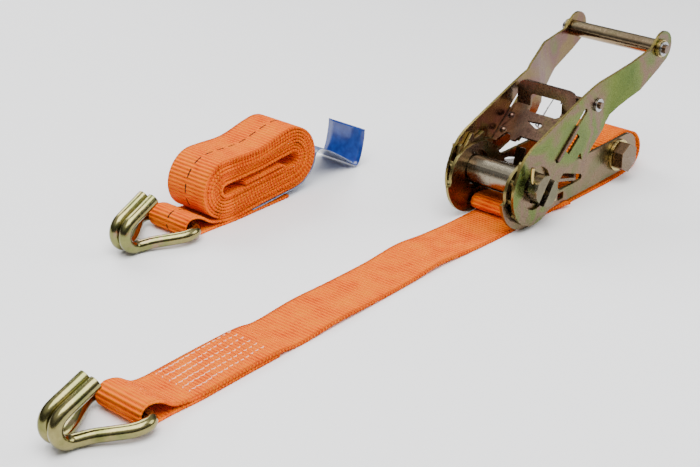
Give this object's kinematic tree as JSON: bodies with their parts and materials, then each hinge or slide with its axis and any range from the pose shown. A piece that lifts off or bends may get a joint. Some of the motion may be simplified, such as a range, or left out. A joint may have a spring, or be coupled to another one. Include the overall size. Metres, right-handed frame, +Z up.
{
  "type": "ratchet tie down",
  "caption": "Ratchet buckle on a short hooked webbing strap, with a second webbing strap rolled up beside it, ending in a twin J hook and a sewn label",
  "frame": {"origin": "on the floor directly below the spool axis, in the middle of the buckle's width, on the flat underside of the short strap", "axes": "+X from the short strap's hook towards the buckle's tail, +Y across the webbing towards the rolled strap, +Z up"},
  "size_m": [0.6901, 0.2856, 0.1379],
  "materials": {
    "passivated_steel": "yellow zinc passivated, satin to bright",
    "plain_steel": "bright zinc plated",
    "webbing": "woven polyester webbing, matt",
    "label": "glossy film label"
  },
  "bodies": {
    "base": {"frame_plate_near": "passivated_steel", "frame_plate_far": "passivated_steel", "anchor_bolt": "passivated_steel", "anchor_nut": "passivated_steel", "anchor_washer_near": "passivated_steel", "anchor_washer_far": "passivated_steel", "anchor_sleeve": "passivated_steel", "spring_seat": "passivated_steel", "lock_pawl_spring": "plain_steel", "strap_short": "webbing"},
    "spool": {"spool_bar_upper": "passivated_steel", "spool_bar_lower": "passivated_steel", "ratchet_wheel_near": "passivated_steel", "ratchet_wheel_far": "passivated_steel", "cotter_pin_near": "passivated_steel", "cotter_pin_far": "passivated_steel"},
    "handle": {"handle_plate_near": "passivated_steel", "handle_plate_far": "passivated_steel", "grip_tube": "passivated_steel", "grip_rod": "passivated_steel", "grip_collar_near": "passivated_steel", "grip_collar_far": "passivated_steel", "grip_washer_near": "plain_steel", "grip_washer_far": "plain_steel", "cross_pin": "passivated_steel", "pin_washer_near": "plain_steel", "pin_washer_far": "plain_steel", "drive_pawl_spring": "plain_steel"},
    "drive_pawl_body": {"drive_pawl": "passivated_steel"},
    "lock_pawl_body": {"lock_pawl": "passivated_steel"},
    "hook_short_body": {"hook_short_strap": "passivated_steel"},
    "long_strap_body": {"strap_long": "webbing", "label": "label"},
    "hook_long_body": {"hook_long_strap": "passivated_steel"}
  },
  "joints": [
    {"name": "spool_spin", "type": "hinge", "parent": "base", "child": "spool", "pos_m": [0, 0, 0.038], "axis": [0, 1, 0], "continuous": true},
    {"name": "handle_swing", "type": "hinge", "parent": "base", "child": "handle", "pos_m": [0, 0, 0.038], "axis": [0, -1, 0], "range_deg": [-13, 120]},
    {"name": "drive_pawl_slide", "type": "slide", "parent": "handle", "child": "drive_pawl_body", "axis": [0.766, 0, 0.6428], "range_m": [0, 0.014], "stiffness_N_per_m": 400, "springref_m": -0.01, "deforming": ["drive_pawl_spring"]},
    {"name": "lock_pawl_slide", "type": "slide", "parent": "base", "child": "lock_pawl_body", "axis": [0.9664, 0, -0.2571], "range_m": [0, 0.006], "stiffness_N_per_m": 400, "springref_m": -0.01, "deforming": ["lock_pawl_spring"]},
    {"name": "hook_short_swing", "type": "hinge", "parent": "base", "child": "hook_short_body", "pos_m": [-0.431, -0.0024, 0.0085], "axis": [0.0523, 0.9986, 0], "range_deg": [0, 100]},
    {"name": "long_strap_lift", "type": "slide", "parent": "base", "child": "long_strap_body", "axis": [0, 0, 1], "range_m": [0, 0.15]},
    {"name": "hook_long_swing", "type": "hinge", "parent": "long_strap_body", "child": "hook_long_body", "pos_m": [-0.208, 0.1959, 0.0085], "axis": [-0.0593, 0.9982, 0], "range_deg": [0, 60]}
  ]
}
